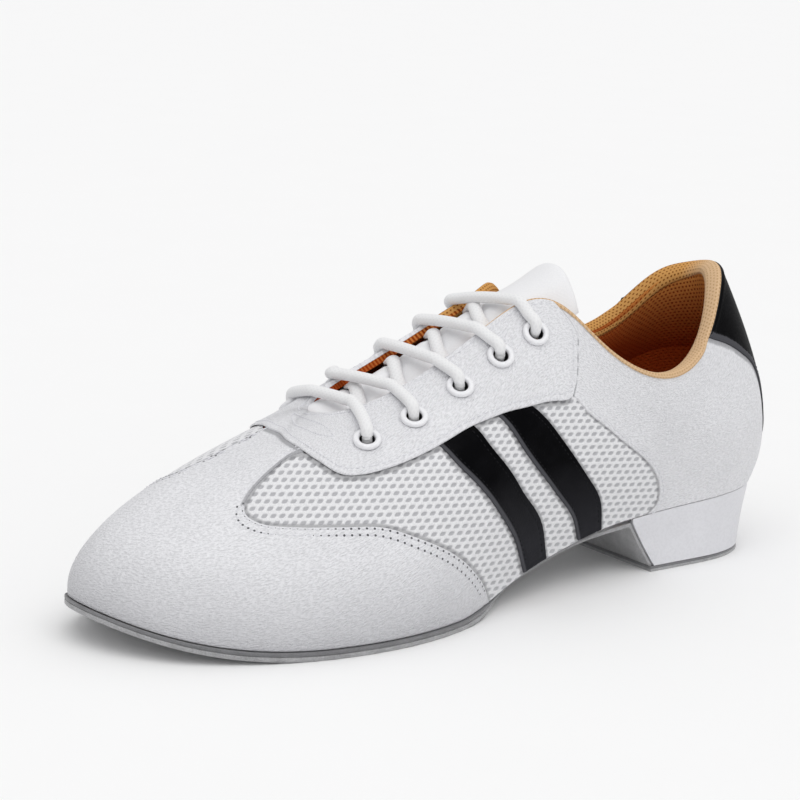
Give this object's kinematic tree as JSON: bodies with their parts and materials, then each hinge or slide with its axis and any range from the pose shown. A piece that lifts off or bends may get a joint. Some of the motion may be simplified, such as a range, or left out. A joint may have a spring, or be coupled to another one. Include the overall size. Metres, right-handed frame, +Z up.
{
  "type": "dance sneaker",
  "caption": "Low lace-up dance sneaker with a pointed round toe, mesh sides under two plain dark bands, a thin suede sole and a low covered heel block",
  "frame": {"origin": "on the floor under the middle of the heel, on the heel cap's bearing face", "axes": "+X towards the back of the heel, toe to -X; -Y the outer side of the left foot; +Z up"},
  "size_m": [0.2676, 0.0978, 0.1054],
  "materials": {
    "mesh_fabric": "open honeycomb mesh over a light backing",
    "white_leather": "smooth fine-grained white leather",
    "black_leather": "smooth black leather",
    "tan_lining": "padded tan knitted lining",
    "white_twill": "white twill over thin padding",
    "grey_suede": "brushed grey suede",
    "dark_board": "dark dyed edge",
    "covered_heel": "block covered in smooth white leather",
    "white_cord": "round woven white lace",
    "white_enamel": "white enamelled ring"
  },
  "bodies": {
    "root": {"upper": "mesh_fabric", "vamp": "white_leather", "quarter_outer": "white_leather", "quarter_inner": "white_leather", "eyestay": "white_leather", "heel_tab": "black_leather", "side_band_outer_1": "black_leather", "side_band_outer_2": "black_leather", "side_band_inner_1": "black_leather", "side_band_inner_2": "black_leather", "collar_pad": "tan_lining", "tongue": "white_twill", "insole": "tan_lining", "midsole": "dark_board", "outsole": "grey_suede", "heel_block": "covered_heel", "heel_cap": "grey_suede", "laces": "white_cord", "eyelet_outer_1": "white_enamel", "eyelet_inner_1": "white_enamel", "eyelet_outer_2": "white_enamel", "eyelet_inner_2": "white_enamel", "eyelet_outer_3": "white_enamel", "eyelet_inner_3": "white_enamel", "eyelet_outer_4": "white_enamel", "eyelet_inner_4": "white_enamel", "eyelet_outer_5": "white_enamel", "eyelet_inner_5": "white_enamel"}
  },
  "joints": []
}
